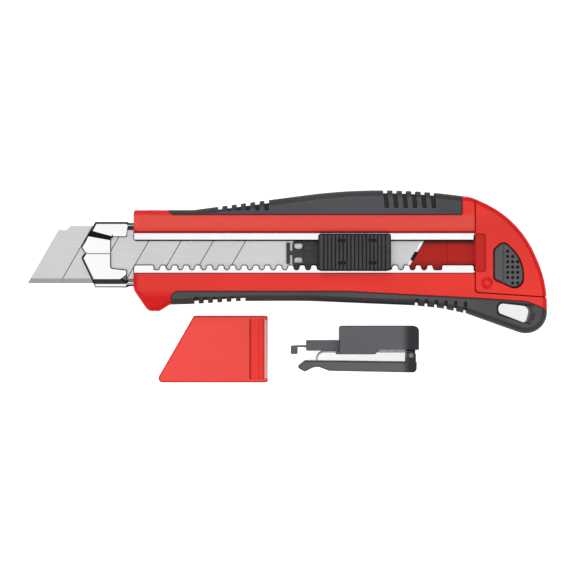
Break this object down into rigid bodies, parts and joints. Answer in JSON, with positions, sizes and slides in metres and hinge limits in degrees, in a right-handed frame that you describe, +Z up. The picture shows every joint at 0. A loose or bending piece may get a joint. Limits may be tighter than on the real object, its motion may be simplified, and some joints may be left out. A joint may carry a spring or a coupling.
{
  "type": "snap off knife",
  "caption": "Heavy snap off knife with a locking thumb slider, spare blades in the handle, a pull-out end cap, a tip guard and a belt clip.",
  "frame": {"origin": "under the middle of the handle's flat back, on the blades' centre line, on the surface that the knife lies on", "axes": "+X from the blade's point to the handle's tail, +Y to the handle's spine, +Z up, out of the face with the thumb slider"},
  "size_m": [0.2252, 0.0835, 0.018],
  "materials": {
    "red_plastic": "satin moulded",
    "soft_grip": "soft touch",
    "chromed_steel": "chromed",
    "blade_steel": "ground",
    "spring_steel": "bright",
    "black_plate": "black oxide",
    "black_plastic": "fine moulded",
    "grey_plastic": "fine moulded",
    "guard_plastic": "satin moulded"
  },
  "bodies": {
    "handle": {"handle_body": "red_plastic", "spine_grip": "soft_grip", "belly_grip": "soft_grip", "blade_channel": "chromed_steel", "magazine_spring": "spring_steel", "spare_blade_1": "blade_steel", "spare_blade_2": "blade_steel", "spare_blade_3": "blade_steel", "spare_blade_4": "blade_steel"},
    "slider": {"slider_carrier": "black_plate", "blade_stud": "spring_steel", "working_blade": "blade_steel", "lock_leaf": "spring_steel"},
    "thumb": {"thumb_button": "black_plastic"},
    "pawl": {"lock_pawl": "spring_steel"},
    "cap": {"end_cap": "red_plastic", "release_spring": "spring_steel"},
    "release": {"release_button": "grey_plastic"},
    "guard": {"tip_guard": "guard_plastic"},
    "clip": {"clip_body": "black_plastic", "clip_pin": "spring_steel", "clip_spring": "spring_steel"},
    "arm": {"clip_arm": "black_plastic"}
  },
  "joints": [
    {"name": "slider_travel", "type": "slide", "parent": "handle", "child": "slider", "axis": [1, 0, 0], "range_m": [-0.05531, 0.0352]},
    {"name": "thumb_press", "type": "slide", "parent": "slider", "child": "thumb", "axis": [0, 0, -1], "range_m": [0, 0.0015], "stiffness_N_per_m": 1400, "springref_m": -0.0004, "deforming": ["lock_leaf"]},
    {"name": "pawl_shift", "type": "slide", "parent": "slider", "child": "pawl", "axis": [0, 1, 0], "range_m": [0, 0.0023]},
    {"name": "end_cap_pull", "type": "slide", "parent": "handle", "child": "cap", "axis": [1, 0, 0], "range_m": [0, 0.03]},
    {"name": "release_press", "type": "slide", "parent": "cap", "child": "release", "axis": [0, 0, -1], "range_m": [0, 0.0016], "stiffness_N_per_m": 1200, "springref_m": -0.0004, "deforming": ["release_spring"]},
    {"name": "guard_lift", "type": "slide", "parent": "handle", "child": "guard", "axis": [0, 0, 1], "range_m": [0, 0.06]},
    {"name": "clip_lift", "type": "slide", "parent": "handle", "child": "clip", "axis": [0, 0, 1], "range_m": [0, 0.06]},
    {"name": "clip_swing", "type": "hinge", "parent": "clip", "child": "arm", "pos_m": [0.0306, -0.04355, 0.009], "axis": [0, 0, 1], "range_deg": [0, 12], "stiffness_Nm_per_rad": 0.15, "springref_deg": -8.59}
  ],
  "couplings": [
    {"joint": "pawl_shift", "follows": "thumb_press", "ratio": 1.5333}
  ]
}
